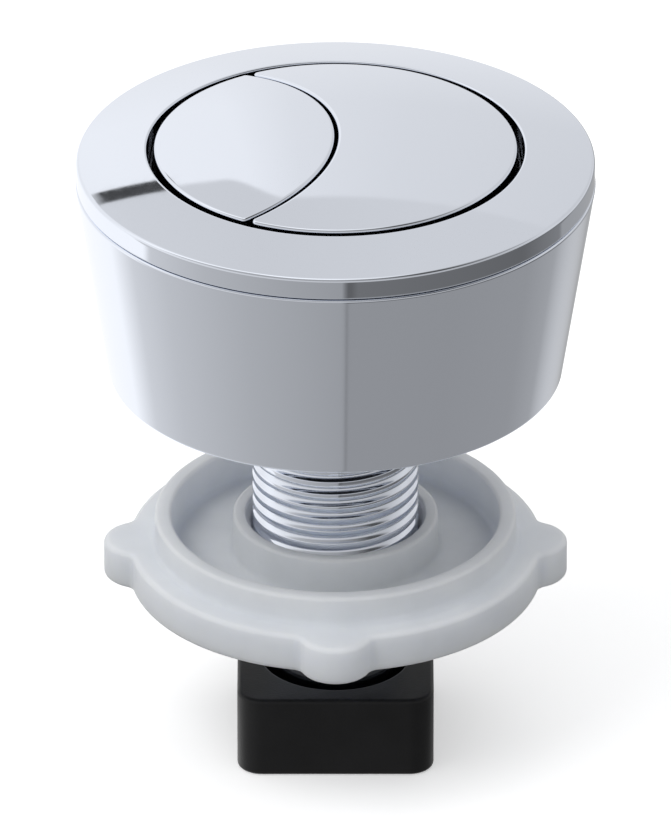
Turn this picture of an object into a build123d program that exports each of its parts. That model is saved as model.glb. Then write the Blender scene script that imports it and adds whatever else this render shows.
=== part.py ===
from build123d import *
import math
import os

# Dual flush push button actuator for a cistern lid, in millimetres, +Z up.
# The origin is the middle of the underside of the rubber foot block.
# It is drawn put together, with no lid in it: the collar plugged up into the
# flange, and the back nut low on the thread, as before a lid is clamped.

# Foot block
block_side = 28.2
block_height = 12.3
block_corner_radius = 3.5
block_edge_radius = 0.6
recess_depth = 5.2
recess_clearance = 1.05
recess_edge_radius = 0.4

# Lower end of the stem
foot_ring_radius = 9.6
foot_ring_height = 8.0
neck_radius = 8.15
neck_height = 3.4
shoulder_radius = 9.45
shoulder_height = 4.4
stem_edge_radius = 0.8
stem_low_edge_radius = 0.4

# Thread of the stem
thread_radius = 11.9
thread_pitch = 2.0
thread_depth = 0.8
thread_root_width = 1.86
thread_root_step = 0.05
thread_crest_width = 0.5
thread_exposed_length = 37.1
thread_inside_length = 2.4
thread_relief_width = 1.0
lead_in_height = 2.5
lead_in_radius = 9.9

# Bezel: flange and barrel in one moulding
flange_radius = 36.75
flange_edge_height = 3.1
dome_rise = 4.0
flange_edge_radius = 0.6
flange_inner_edge_radius = 0.3
barrel_length = 29.3
barrel_wall = 1.7
barrel_edge_radius = 0.9
opening_ledge_depth = 1.3
opening_ledge_width = 0.15

# Buttons
button_radius = 25.75
opening_gap = 1.0
split_radius = 26.2
split_crossing = 0.13
split_gap = 0.5
cap_thickness = 1.8
cap_skirt_wall = 1.4
cap_edge_radius = 0.4
cap_corner_radius = 0.7
cap_inner_corner_radius = 0.3
button_stroke = 6.0
carrier_below_opening = 9.3
carrier_thickness = 2.0
carrier_inset = 0.2
rib_thickness = 1.6
rib_spacing = 9.0

# Windows in the barrel, front and back
window_width = 5.8
window_sill_height = 3.05
window_height = 21.45
window_corner_radius = 0.6
frame_width = 12.3
frame_proud = 0.45
frame_sill = 0.75
frame_corner_radius = 1.6

# Guide cup inside the barrel
cup_clearance = 0.3
cup_wall = 0.55
cup_plate_height = 4.4
cup_plate_thickness = 2.2
cup_top_gap = 4.9
cup_bottom_gap = 0.9
cup_lug_width = 5.2
cup_lug_height = 1.5
cup_lug_proud = 1.4
cup_lug_gap = 0.1
tongue_width = 3.4
tongue_slot = 0.5
tongue_end_height = 11.8
tongue_top_height = 22.0
tab_width = 4.4
tab_height = 1.5

# Stem head, screwed down on the plate of the guide cup
stem_flange_radius = 16.8
stem_flange_thickness = 2.0
neck_in_plate_gap = 0.3
guide_tube_wall = 2.2
guide_tube_gap = 0.6
screw_count = 3
screw_circle_radius = 14.6
screw_head_radius = 2.1
screw_head_height = 1.6
screw_head_edge_radius = 0.5
screw_shank_radius = 1.1
screw_shank_length = 6.6
screw_slot_length = 3.4
screw_slot_width = 0.6
screw_slot_depth = 0.7
screw_play = 0.05
screw_boss_radius = 2.3
screw_boss_floor = 0.5
screw_end_gap = 0.5

# Plungers and push rods inside the stem
plunger_radius = 5.9
plunger_play = 0.3
plunger_split_gap = 0.7
plunger_lower_z = 34.0
spigot_radius = 1.2
spigot_height = 3.4
spigot_offset = 4.0
spigot_play = 0.1
lower_bore_radius = 6.95
stop_ledge_z = 42.0
clip_thickness = 1.2
clip_groove_depth = 1.1
clip_radius = 6.55
clip_play = 0.2
rod_radius = 1.5
rod_offset = 3.1
rod_play = 0.05
rod_insert = 13.0
rod_end_gap = 1.4
rod_end_chamfer = 0.4
lock_nut_across_flats = 4.6
lock_nut_height = 2.4

# Return springs
spring_wire_radius = 0.5
spring_turns = 5
spring_head_gap = 0.6
spring_wall_gap = 2.25
spring_peg_gap = 0.6
spring_peg_height = 3.5
spring_cap_peg_height = 2.3

# Collar
collar_height = 30.0
collar_overhang = 0.15
collar_bottom_width = 3.35
collar_bore_gap = 0.35
collar_edge_radius = 0.7
collar_inner_edge_radius = 0.35
collar_seat_gap = 0.1
lip_inner_inset = 3.55
lip_width = 1.4
lip_height = 0.9
lip_edge_radius = 0.3
lip_clearance = 0.2

# Back nut
nut_clear_of_thread_end = 2.6
nut_flange_radius = 29.6
nut_flange_thickness = 5.85
nut_height = 10.1
nut_rim_radius = 25.9
nut_rim_width = 2.4
nut_channel_depth = 5.7
nut_boss_radius = 14.7
nut_bore_gap = 0.3
nut_thread_depth = 0.7
nut_lug_count = 4
nut_lug_radius = 5.2
nut_lug_reach = 33.2
nut_lug_root_radius = 2.0
nut_edge_radius = 0.8
nut_rim_edge_radius = 0.4

# Heights that follow
recess_floor_z = block_height - recess_depth
ring_top_z = recess_floor_z + foot_ring_height
neck_top_z = ring_top_z + neck_height
thread_start_z = neck_top_z + shoulder_height
barrel_bottom_z = thread_start_z + thread_exposed_length
thread_end_z = barrel_bottom_z + thread_inside_length
plain_stem_z = thread_end_z + thread_relief_width
flange_under_z = barrel_bottom_z + barrel_length
edge_top_z = flange_under_z + flange_edge_height
crown_z = edge_top_z + dome_rise
plate_bottom_z = barrel_bottom_z + cup_plate_height
plate_top_z = plate_bottom_z + cup_plate_thickness
stem_flange_top_z = plate_top_z + stem_flange_thickness
carrier_bottom_z = flange_under_z - carrier_below_opening
carrier_top_z = carrier_bottom_z + carrier_thickness
guide_tube_top_z = carrier_bottom_z - button_stroke - guide_tube_gap
sill_z = barrel_bottom_z + window_sill_height
window_top_z = sill_z + window_height
nut_bottom_z = thread_start_z + nut_clear_of_thread_end
collar_land_z = flange_under_z - collar_seat_gap
collar_bottom_z = collar_land_z - collar_height
rod_end_z = recess_floor_z + button_stroke + rod_end_gap

# Radii that follow
opening_radius = button_radius + opening_gap
barrel_inner_radius = opening_radius + opening_ledge_width
barrel_radius = barrel_inner_radius + barrel_wall
frame_radius = barrel_radius + frame_proud
cup_radius = barrel_inner_radius - cup_clearance
cup_inner_radius = cup_radius - cup_wall
spring_room = cup_inner_radius - spring_wall_gap - stem_flange_radius - spring_head_gap
spring_offset = stem_flange_radius + spring_head_gap + spring_room / 2
spring_coil_radius = spring_room / 2 - spring_wire_radius
spring_peg_radius = spring_coil_radius - spring_wire_radius - spring_peg_gap
thread_core_radius = thread_radius - thread_depth
plate_hole_radius = thread_radius + neck_in_plate_gap
guide_bore_radius = plunger_radius + plunger_play
guide_tube_radius = guide_bore_radius + guide_tube_wall
lip_inner_radius = flange_radius - lip_inner_inset
lip_outer_radius = lip_inner_radius + lip_width
collar_top_radius = flange_radius + collar_overhang
collar_bore_radius = barrel_radius + collar_bore_gap
collar_bottom_radius = collar_bore_radius + collar_bottom_width
nut_bore_radius = thread_radius + nut_bore_gap
recess_radius = foot_ring_radius + recess_clearance

# The shallow dome that the flange and both buttons share
dome_radius = (flange_radius**2 + dome_rise**2) / (2 * dome_rise)
dome_centre = Vector(0, 0, crown_z - dome_radius)

# How far solids that are fused reach into each other, and cutters reach past
overlap = 0.4
past = 1.0

# How near two measures of the same place must be
same_place = 0.001


def dome_height(radius):
    """The height of the dome's surface at a radius."""
    return dome_centre.Z + math.sqrt(dome_radius**2 - radius**2)


def ball(radius):
    """A ball about the centre of the dome."""
    return Pos(0, 0, dome_centre.Z) * Sphere(radius)


def eased(profile, corners):
    """Round corners of a flat profile, given as pairs of a point and a radius."""
    for point, radius in corners:
        corner = profile.vertices().sort_by_distance(Vector(*point))[0]
        profile = fillet(corner, radius)
    return profile


def turned(points, corners=()):
    """A turned solid from (radius, height) points, with some corners rounded."""
    profile = make_face(Polyline(*points, close=True))
    return revolve(Plane.XZ * eased(profile, corners), Axis.Z)


def ring(outer, inner, bottom, top):
    """A plain ring between two heights."""
    return extrude(Pos(0, 0, bottom) * (Circle(outer) - Circle(inner)), top - bottom)


def post(radius, bottom, top, x=0, y=0):
    """A plain upright cylinder between two heights."""
    return extrude(Pos(x, y, bottom) * Circle(radius), top - bottom)


def upright_box(width, depth, bottom, top, x=0, y=0):
    """A box centred on (x, y), between two heights."""
    return Pos(x, y, (bottom + top) / 2) * Box(width, depth, top - bottom)


def thread_ridge(root_radius, crest_radius, root_width, crest_width, bottom, top):
    """A right-hand helical ridge, or a groove's cutter if the crest lies outward."""
    helix = Pos(0, 0, bottom) * Helix(thread_pitch, top - bottom, root_radius)
    depth = crest_radius - root_radius
    section = Polygon(
        (-overlap, -root_width / 2),
        (thread_root_step, -root_width / 2),
        (depth, -crest_width / 2),
        (depth, crest_width / 2),
        (thread_root_step, root_width / 2),
        (-overlap, root_width / 2),
        align=None,
    )
    across = Plane(origin=helix @ 0, x_dir=(1, 0, 0), z_dir=helix % 0)
    return sweep(across * section, path=helix, is_frenet=True)


def foot_block():
    """The square rubber foot, with a blind recess for the end of the stem."""
    body = upright_box(block_side, block_side, 0, block_height)
    body = fillet(body.edges().filter_by(Axis.Z), block_corner_radius)
    rims = body.faces().sort_by(Axis.Z)[-1].edges() + body.faces().sort_by(Axis.Z)[0].edges()
    body = fillet(rims, block_edge_radius)
    body -= post(recess_radius, recess_floor_z, block_height + past)
    mouth = body.faces().sort_by(Axis.Z)[-1].inner_wires()[0].edges()
    return fillet(mouth, recess_edge_radius)


def threaded_stem():
    """The hollow stem: foot ring, neck, shoulder, thread, flange and guide tube."""
    lead_in_slope = lead_in_height / (thread_radius - lead_in_radius)
    lead_in_core_z = thread_start_z + lead_in_slope * (thread_core_radius - lead_in_radius)
    envelope_radius = thread_radius + overlap
    envelope_lead_in_z = thread_start_z + lead_in_slope * (envelope_radius - lead_in_radius)
    body = turned(
        [
            (lower_bore_radius, recess_floor_z),
            (foot_ring_radius, recess_floor_z),
            (foot_ring_radius, ring_top_z),
            (neck_radius, ring_top_z),
            (neck_radius, neck_top_z),
            (shoulder_radius, neck_top_z),
            (shoulder_radius, thread_start_z),
            (lead_in_radius, thread_start_z),
            (thread_core_radius, lead_in_core_z),
            (thread_core_radius, plain_stem_z),
            (thread_radius, plain_stem_z + thread_depth),
            (thread_radius, plate_top_z),
            (stem_flange_radius, plate_top_z),
            (stem_flange_radius, stem_flange_top_z),
            (guide_tube_radius, stem_flange_top_z),
            (guide_tube_radius, guide_tube_top_z),
            (guide_bore_radius, guide_tube_top_z),
            (guide_bore_radius, stop_ledge_z),
            (lower_bore_radius, stop_ledge_z),
        ],
        [
            ((foot_ring_radius, recess_floor_z), stem_low_edge_radius),
            ((foot_ring_radius, ring_top_z), stem_edge_radius),
            ((shoulder_radius, neck_top_z), stem_low_edge_radius),
            ((guide_tube_radius, stem_flange_top_z), stem_edge_radius),
        ],
    )
    ridge = thread_ridge(
        thread_core_radius,
        thread_radius,
        thread_root_width,
        thread_crest_width,
        thread_start_z + thread_root_width / 2,
        thread_end_z,
    )
    envelope = turned(
        [
            (0, thread_start_z),
            (lead_in_radius, thread_start_z),
            (envelope_radius, envelope_lead_in_z),
            (envelope_radius, plain_stem_z),
            (0, plain_stem_z),
        ]
    )
    body += ridge & envelope
    for angle in screw_angles():
        body -= Rot(0, 0, angle) * post(
            screw_shank_radius + screw_play,
            plate_top_z - past,
            stem_flange_top_z + past,
            screw_circle_radius,
        )
    return body


def screw_angles():
    """The directions of the screws, clear of the springs."""
    return [90 + 360 * n / screw_count for n in range(screw_count)]


def stem_screws():
    """The screws that hold the flange of the stem to the guide cup."""
    head_top_z = stem_flange_top_z + screw_head_height
    screws = []
    for angle in screw_angles():
        head = post(screw_head_radius, stem_flange_top_z, head_top_z, screw_circle_radius)
        head = fillet(head.faces().sort_by(Axis.Z)[-1].edges(), screw_head_edge_radius)
        shank = post(
            screw_shank_radius,
            stem_flange_top_z - screw_shank_length,
            stem_flange_top_z,
            screw_circle_radius,
        )
        screw = head + shank
        for turn in (0, 90):
            slot = Box(screw_slot_length, screw_slot_width, 2 * screw_slot_depth)
            screw -= Pos(screw_circle_radius, 0, head_top_z) * Rot(0, 0, turn) * slot
        screws.append(Rot(0, 0, angle) * screw)
    return Compound(children=screws)


def bezel():
    """The flange and barrel, with a framed window front and back."""
    groove_inner = lip_inner_radius - lip_clearance
    groove_outer = lip_outer_radius + lip_clearance
    groove_top_z = flange_under_z + lip_height + lip_clearance
    ledge_z = flange_under_z - opening_ledge_depth
    opening_top_z = dome_height(opening_radius)
    middle_radius = (flange_radius + opening_radius) / 2
    walls = Polyline(
        (opening_radius, opening_top_z),
        (opening_radius, ledge_z),
        (barrel_inner_radius, ledge_z),
        (barrel_inner_radius, barrel_bottom_z),
        (barrel_radius, barrel_bottom_z),
        (barrel_radius, flange_under_z),
        (groove_inner, flange_under_z),
        (groove_inner, groove_top_z),
        (groove_outer, groove_top_z),
        (groove_outer, flange_under_z),
        (flange_radius, flange_under_z),
        (flange_radius, edge_top_z),
    )
    dome = ThreePointArc(
        (flange_radius, edge_top_z),
        (middle_radius, dome_height(middle_radius)),
        (opening_radius, opening_top_z),
    )
    profile = eased(
        make_face(walls + dome),
        [
            ((flange_radius, edge_top_z), flange_edge_radius),
            ((flange_radius, flange_under_z), flange_inner_edge_radius),
            ((opening_radius, opening_top_z), flange_inner_edge_radius),
            ((barrel_radius, barrel_bottom_z), barrel_edge_radius),
            ((barrel_radius, flange_under_z), flange_inner_edge_radius),
        ],
    )
    body = revolve(Plane.XZ * profile, Axis.Z)
    frame_bottom_z = sill_z - frame_sill
    frame = upright_box(
        frame_width, 2 * frame_radius + past, frame_bottom_z, flange_under_z + overlap
    )
    low_corners = frame.edges().filter_by(Axis.Y).group_by(Axis.Z)[0]
    frame = fillet(low_corners, frame_corner_radius)
    sleeve = ring(
        frame_radius, barrel_radius - overlap, frame_bottom_z - past, flange_under_z + overlap
    )
    body += frame & sleeve
    window = upright_box(window_width, 2 * flange_radius, sill_z, window_top_z)
    return body - fillet(window.edges().filter_by(Axis.Y), window_corner_radius)


def guide_cup():
    """The cup in the barrel: skirt, plate, spring pegs, bosses, lugs and tongues."""
    body = ring(
        cup_radius, cup_inner_radius, barrel_bottom_z + cup_bottom_gap, flange_under_z - cup_top_gap
    )
    body += ring(cup_radius, plate_hole_radius, plate_bottom_z, plate_top_z)
    for side in (-1, 1):
        x = side * spring_offset
        body += post(
            spring_peg_radius, plate_top_z - overlap, plate_top_z + spring_peg_height, x
        )
    for angle in screw_angles():
        turn = Rot(0, 0, angle)
        hole_bottom_z = stem_flange_top_z - screw_shank_length - screw_end_gap
        boss_bottom_z = hole_bottom_z - screw_boss_floor
        body += turn * post(screw_boss_radius, boss_bottom_z, plate_top_z, screw_circle_radius)
        body -= turn * post(
            screw_shank_radius + screw_play,
            hole_bottom_z,
            plate_top_z + past,
            screw_circle_radius,
        )
    body -= post(plate_hole_radius, barrel_bottom_z, plate_top_z + past)
    return (body - tongue_slots()) + cup_lugs()


def tongue_slots():
    """The U shaped slots that free a springy tongue behind each window."""
    bottom_z = barrel_bottom_z + tongue_end_height
    top_z = barrel_bottom_z + tongue_top_height
    depth = 2 * barrel_radius
    side_x = (tongue_width + tongue_slot) / 2
    slots = upright_box(tongue_width + 2 * tongue_slot, depth, bottom_z - tongue_slot, bottom_z)
    for side in (-1, 1):
        slots += upright_box(tongue_slot, depth, bottom_z - tongue_slot, top_z, side * side_x)
    return slots


def cup_lugs():
    """The lugs that stand on the window sills, and the tabs under the window tops."""
    lug_bottom_z = sill_z + cup_lug_gap
    lugs = upright_box(
        cup_lug_width, 2 * flange_radius, lug_bottom_z, lug_bottom_z + cup_lug_height
    )
    tab_top_z = window_top_z - cup_lug_gap
    lugs += upright_box(tab_width, 2 * flange_radius, tab_top_z - tab_height, tab_top_z)
    reach = ring(
        cup_radius + cup_lug_proud, cup_radius - cup_wall / 2, barrel_bottom_z, flange_under_z
    )
    return lugs & reach


def button_outline(side, inset):
    """The plan of a button, shrunk by an inset: -1 is the half flush, 1 the full."""
    disc = Circle(button_radius - inset)
    split_x = split_crossing - split_radius
    if side < 0:
        outline = disc & (Pos(split_x, 0) * Circle(split_radius - split_gap / 2 - inset))
    else:
        outline = disc - (Pos(split_x, 0) * Circle(split_radius + split_gap / 2 + inset))
    return fillet(outline.vertices(), max(cap_corner_radius - inset, cap_inner_corner_radius))


def button_prism(side, inset, bottom):
    """An upright prism on a button's plan, taller than the dome."""
    return extrude(Pos(0, 0, bottom) * button_outline(side, inset), crown_z + past - bottom)


def button_cap(side):
    """A plated cap: a domed shell with a skirt that stands on its carrier."""
    solid = button_prism(side, 0, carrier_top_z) & ball(dome_radius)
    hollow = button_prism(side, cap_skirt_wall, carrier_top_z - past)
    cap = solid - (hollow & ball(dome_radius - cap_thickness))
    rim = cap.edges().filter_by(
        lambda e: abs((e @ 0.5 - dome_centre).length - dome_radius) < same_place
    )
    return fillet(rim, cap_edge_radius)


def carrier(side):
    """The moulded plate under a cap, ribbed up to the cap's underside."""
    plate = button_prism(side, carrier_inset, carrier_bottom_z)
    plate &= upright_box(4 * button_radius, 4 * button_radius, carrier_bottom_z, carrier_top_z)
    middle_x = side * button_radius / 2
    ribs = upright_box(
        2 * button_radius, rib_thickness, carrier_top_z - overlap, crown_z, middle_x
    )
    for step in (-1, 0, 1):
        ribs += upright_box(
            rib_thickness,
            2 * button_radius,
            carrier_top_z - overlap,
            crown_z,
            middle_x + step * rib_spacing,
        )
    inside = button_prism(side, cap_skirt_wall + carrier_inset, carrier_top_z - overlap)
    ribs = ribs & inside & ball(dome_radius - cap_thickness - carrier_inset)
    body = plate + ribs
    body += post(
        spring_peg_radius,
        carrier_bottom_z - spring_cap_peg_height,
        carrier_bottom_z + overlap,
        side * spring_offset,
    )
    body -= post(
        spigot_radius + spigot_play,
        carrier_bottom_z - past,
        carrier_bottom_z + spigot_height + spigot_play,
        side * spigot_offset,
    )
    return body


def half_disc(side, radius, bottom, top):
    """A D shaped prism on one side of the gap between the plungers."""
    keep = upright_box(
        2 * radius, 4 * radius, bottom, top, side * (radius + plunger_split_gap / 2)
    )
    return post(radius, bottom, top) & keep


def plunger(side):
    """A D section plunger, grooved for its stop clip and bored for its push rod."""
    body = half_disc(side, plunger_radius, plunger_lower_z, carrier_bottom_z)
    clip_top_z = stop_ledge_z - clip_play
    groove = ring(
        2 * plunger_radius,
        plunger_radius - clip_groove_depth,
        clip_top_z - clip_thickness - clip_play / 2,
        clip_top_z + clip_play / 2,
    )
    body -= groove
    body += post(
        spigot_radius,
        carrier_bottom_z - overlap,
        carrier_bottom_z + spigot_height,
        side * spigot_offset,
    )
    body -= post(
        rod_radius + rod_play,
        plunger_lower_z - past,
        plunger_lower_z + rod_insert + rod_play,
        side * rod_offset,
    )
    return body


def stop_clip(side):
    """The half ring that stops a plunger under the ledge in the stem."""
    top_z = stop_ledge_z - clip_play
    bottom_z = top_z - clip_thickness
    inner = plunger_radius - clip_groove_depth + clip_play / 2
    return half_disc(side, clip_radius, bottom_z, top_z) - post(
        inner, bottom_z - past, top_z + past
    )


def push_rod(side):
    """The rod screwed up into a plunger, which pushes the valve below."""
    rod = post(rod_radius, rod_end_z, plunger_lower_z + rod_insert, side * rod_offset)
    ends = rod.edges().filter_by(GeomType.CIRCLE)
    return chamfer(ends, rod_end_chamfer)


def lock_nut(side):
    """The hexagon nut that locks a push rod under its plunger."""
    hexagon = RegularPolygon(lock_nut_across_flats / 2, 6, major_radius=False, rotation=30)
    top_z = plunger_lower_z
    body = extrude(
        Pos(side * rod_offset, 0, top_z - lock_nut_height) * hexagon, lock_nut_height
    )
    return body - post(
        rod_radius + rod_play, top_z - lock_nut_height - past, top_z + past, side * rod_offset
    )


def return_spring(side):
    """A compression spring between the plate of the cup and a carrier."""
    height = carrier_bottom_z - plate_top_z - 2 * spring_wire_radius
    helix = Helix(height / spring_turns, height, spring_coil_radius)
    wire = Plane(origin=helix @ 0, x_dir=(1, 0, 0), z_dir=helix % 0) * Circle(spring_wire_radius)
    coil = sweep(wire, path=helix, is_frenet=True)
    return Pos(side * spring_offset, 0, plate_top_z + spring_wire_radius) * coil


def collar():
    """The tapered collar, with a lip that plugs into the groove under the flange."""
    lip_top_z = collar_land_z + lip_height
    return turned(
        [
            (collar_bore_radius, collar_bottom_z),
            (collar_bottom_radius, collar_bottom_z),
            (collar_top_radius, collar_land_z),
            (lip_outer_radius, collar_land_z),
            (lip_outer_radius, lip_top_z),
            (lip_inner_radius, lip_top_z),
            (lip_inner_radius, collar_land_z),
        ],
        [
            ((collar_bottom_radius, collar_bottom_z), collar_edge_radius),
            ((collar_top_radius, collar_land_z), collar_inner_edge_radius),
            ((lip_outer_radius, lip_top_z), lip_edge_radius),
            ((collar_bore_radius, collar_bottom_z), collar_inner_edge_radius),
        ],
    )


def nut_plan():
    """The plan of the nut's flange, with lugs that blend into its edge."""
    lugs = Sketch() + [
        Rot(0, 0, 360 * n / nut_lug_count) * Pos(nut_lug_reach - nut_lug_radius, 0)
        * Circle(nut_lug_radius)
        for n in range(nut_lug_count)
    ]
    plan = Circle(nut_flange_radius) + lugs
    return fillet(plan.vertices(), nut_lug_root_radius)


def back_nut():
    """The flanged nut: lugs, rim, channel and a boss with a thread in its bore."""
    flange = extrude(Pos(0, 0, nut_bottom_z) * nut_plan(), nut_flange_thickness)
    flange = fillet(flange.edges().filter_by(Plane.XY), nut_edge_radius)
    rim_bottom_z = nut_bottom_z + nut_flange_thickness
    top_z = nut_bottom_z + nut_height
    floor_z = top_z - nut_channel_depth
    rim_inner = nut_rim_radius - nut_rim_width
    upper = turned(
        [
            (nut_bore_radius, floor_z - overlap),
            (nut_rim_radius + nut_edge_radius, rim_bottom_z - overlap),
            (nut_rim_radius + nut_edge_radius, rim_bottom_z),
            (nut_rim_radius, rim_bottom_z + nut_edge_radius),
            (nut_rim_radius, top_z),
            (nut_bore_radius, top_z),
        ],
        [((nut_rim_radius, top_z), nut_rim_edge_radius)],
    )
    channel = turned(
        [
            (nut_boss_radius, floor_z),
            (rim_inner, floor_z),
            (rim_inner, top_z + past),
            (nut_boss_radius, top_z + past),
        ],
        [((nut_boss_radius, floor_z), nut_edge_radius), ((rim_inner, floor_z), nut_edge_radius)],
    )
    body = flange + upper - channel
    body -= post(nut_bore_radius, nut_bottom_z - past, top_z + past)
    groove = thread_ridge(
        nut_bore_radius,
        nut_bore_radius + nut_thread_depth,
        thread_root_width,
        thread_crest_width,
        nut_bottom_z - thread_pitch,
        top_z + thread_pitch,
    )
    return body - groove


def pieces():
    """Each node's name and solid."""
    made = {
        "bezel": bezel(),
        "guide_cup": guide_cup(),
        "threaded_stem": threaded_stem(),
        "stem_screws": stem_screws(),
        "foot_block": foot_block(),
        "collar": collar(),
        "back_nut": back_nut(),
    }
    for side, name in ((-1, "half"), (1, "full")):
        made[name + "_button"] = button_cap(side)
        made[name + "_carrier"] = carrier(side)
        made[name + "_plunger"] = plunger(side)
        made[name + "_push_rod"] = push_rod(side)
        made[name + "_lock_nut"] = lock_nut(side)
        made[name + "_stop_clip"] = stop_clip(side)
        made[name + "_spring"] = return_spring(side)
    return made


os.makedirs("parts", exist_ok=True)
for name, shape in pieces().items():
    shape.label = name
    export_step(shape, f"parts/{name}.step")
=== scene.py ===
import math

import bmesh
import bpy
from mathutils import Euler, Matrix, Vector
from mathutils.geometry import delaunay_2d_cdt


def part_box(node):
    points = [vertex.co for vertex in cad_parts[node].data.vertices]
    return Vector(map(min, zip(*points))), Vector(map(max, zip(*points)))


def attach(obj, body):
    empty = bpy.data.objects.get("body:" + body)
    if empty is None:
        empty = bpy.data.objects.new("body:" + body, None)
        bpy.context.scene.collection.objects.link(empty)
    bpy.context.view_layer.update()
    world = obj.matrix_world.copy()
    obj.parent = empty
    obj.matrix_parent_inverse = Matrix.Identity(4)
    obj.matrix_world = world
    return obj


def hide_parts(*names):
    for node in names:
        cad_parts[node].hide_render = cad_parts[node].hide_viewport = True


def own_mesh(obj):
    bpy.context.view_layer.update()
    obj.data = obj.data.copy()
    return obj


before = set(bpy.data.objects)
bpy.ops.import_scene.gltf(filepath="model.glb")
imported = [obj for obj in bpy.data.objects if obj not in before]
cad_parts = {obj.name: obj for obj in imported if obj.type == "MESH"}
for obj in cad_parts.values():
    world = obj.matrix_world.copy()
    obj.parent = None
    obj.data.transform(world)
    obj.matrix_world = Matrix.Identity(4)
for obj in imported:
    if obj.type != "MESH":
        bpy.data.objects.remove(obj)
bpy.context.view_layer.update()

# Push button cistern actuator. Shapes are worked out in millimetres and made in metres.
MM = 0.001


def low(node):
    """The lowest corner of a CAD node, in millimetres."""
    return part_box(node)[0] / MM


def high(node):
    """The highest corner of a CAD node, in millimetres."""
    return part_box(node)[1] / MM


# Sizes read from the frame
flange_radius = high("bezel").x
barrel_bottom = low("bezel").z
button_radius = high("full_button").x
crown = high("half_button").z
cap_bottom = low("full_button").z
stem_bottom = low("threaded_stem").z
stem_top = high("threaded_stem").z
stem_flange_radius = high("threaded_stem").x
collar_bottom = low("collar").z
collar_lip_top = high("collar").z
nut_bottom = low("back_nut").z
nut_top = high("back_nut").z
nut_reach = high("back_nut").x
block_half = high("foot_block").x
block_bottom = low("foot_block").z
block_top = high("foot_block").z

# Sizes of the bezel that the frame's boxes don't give
barrel_length = 29.3
barrel_wall = 1.7
barrel_fillet = 0.9
barrel_inner_fillet = 0.2
flange_edge_height = 3.1
flange_edge_fillet = 0.6
dome_inset = 0.96
opening_gap = 1.0
ledge_depth = 1.3
ledge_width = 0.15
groove_fillet = 0.1
window_width = 5.8
window_sill = 3.05
window_height = 21.45
window_corner = 0.6
frame_width = 12.3
frame_proud = 0.45
frame_sill = 0.75
frame_corner = 1.6
frame_ease = 0.15
frame_ease_middle = 0.045
frame_sink = 0.3
frame_overlap = 0.2

# Sizes of the collar
lip_inset = 3.55
lip_width = 1.4
lip_height = 0.9
lip_clearance = 0.2
lip_root_fillet = 0.12
lip_inner_fillet = 0.2
lip_foot_fillet = 0.3
collar_overhang = 0.15
collar_bottom_radius = 32.3
collar_bore_gap = 0.35
collar_fillet = 0.7

# Sizes of the button caps
split_radius = 26.2
split_crossing = 0.13
split_gap = 0.5
cap_fillet = 0.4
cap_corner = 0.7
cap_inner_corner = 0.3
cap_wall = 1.4
cap_thickness = 1.8

# Sizes of the stem
foot_ring_radius = 9.6
foot_ring_height = 8.0
neck_radius = 8.15
neck_height = 3.4
neck_fillet = 0.25
shoulder_radius = 9.45
shoulder_height = 4.4
shoulder_fillet = 0.15
stem_fillet = 0.8
stem_head_fillet = 0.2
stem_flange_thickness = 2.0
stem_screw_length = 6.6
stem_bore = 6.95
stop_ledge = 42.0
guide_tube_radius = 8.4
guide_tube_root = 0.8
guide_bore = 6.2
lead_in_height = 2.5
lead_in_radius = 9.9
thread_radius = 11.9
thread_depth = 0.8
thread_seen_depth = 0.5
thread_pitch = 2.0
thread_inside_length = 2.4
thread_relief = 1.0

# Sizes of the foot block
block_corner = 3.5
block_fillet = 0.6
recess_gap = 1.05
recess_land = 1.2
recess_fillet = 0.4
recess_root_fillet = 0.5
recess_middle = 0.5

# Sizes of the back nut
nut_flange_radius = 29.6
nut_flange_height = 5.85
nut_fillet = 0.8
nut_lug_radius = 5.2
nut_lug_root = 2.0
nut_lug_count = 4
nut_rim_radius = 25.9
nut_rim_width = 2.4
nut_rim_fillet = 0.55
nut_rim_land = 2.0
nut_root_fillet = 0.9
nut_channel_depth = 5.7
nut_boss_radius = 14.7
nut_boss_fillet = 0.5
nut_bore = 12.2
nut_bore_fillet = 0.25
nut_thread_depth = 0.7
nut_thread_inset = 0.6

# Sizes of the springs
spring_wire_radius = 0.5
spring_turns = 5

# Sizes that follow
flange_under = barrel_bottom + barrel_length
edge_top = flange_under + flange_edge_height
opening_radius = button_radius + opening_gap
barrel_inner = opening_radius + ledge_width
barrel_radius = barrel_inner + barrel_wall
window_bottom = barrel_bottom + window_sill
frame_radius = barrel_radius + frame_proud
dome_rise = crown - edge_top
dome_radius = (flange_radius**2 + dome_rise**2) / (2 * dome_rise)
dome_centre_z = crown - dome_radius
lip_inner = flange_radius - lip_inset
lip_outer = lip_inner + lip_width
collar_radius = flange_radius + collar_overhang
collar_bore = barrel_radius + collar_bore_gap
collar_land = collar_lip_top - lip_height
thread_core = thread_radius - thread_depth
thread_start = stem_bottom + foot_ring_height + neck_height + shoulder_height
thread_end = barrel_bottom + thread_inside_length
stem_flange_top = low("stem_screws").z + stem_screw_length
stem_flange_under = stem_flange_top - stem_flange_thickness
recess_radius = foot_ring_radius + recess_gap
nut_flange_top = nut_bottom + nut_flange_height
nut_thread_root = nut_bore + nut_thread_depth
nut_thread_top = nut_top - nut_thread_inset

# How finely the meshes are made
ROUND = 288
STEM_ROUND = 192
BLOCK_ROUND = 256
COIL_ROUND = 40
WIRE_ROUND = 12
CORNER_STEPS = 12
DOME_STEPS = 14
FILLET_STEPS = 7
FRAME_STRIPS = 40
CAP_ARC = 220
CAP_CORNER_ARC = 10
LUG_ARC = 26
LUG_ROOT_ARC = 10
NUT_FLANGE_ARC = 46
ROOF_SPACING = 0.9
CEILING_SPACING = 3.0
WELD = 1e-4
SHARP_ANGLE = math.radians(32)

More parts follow.
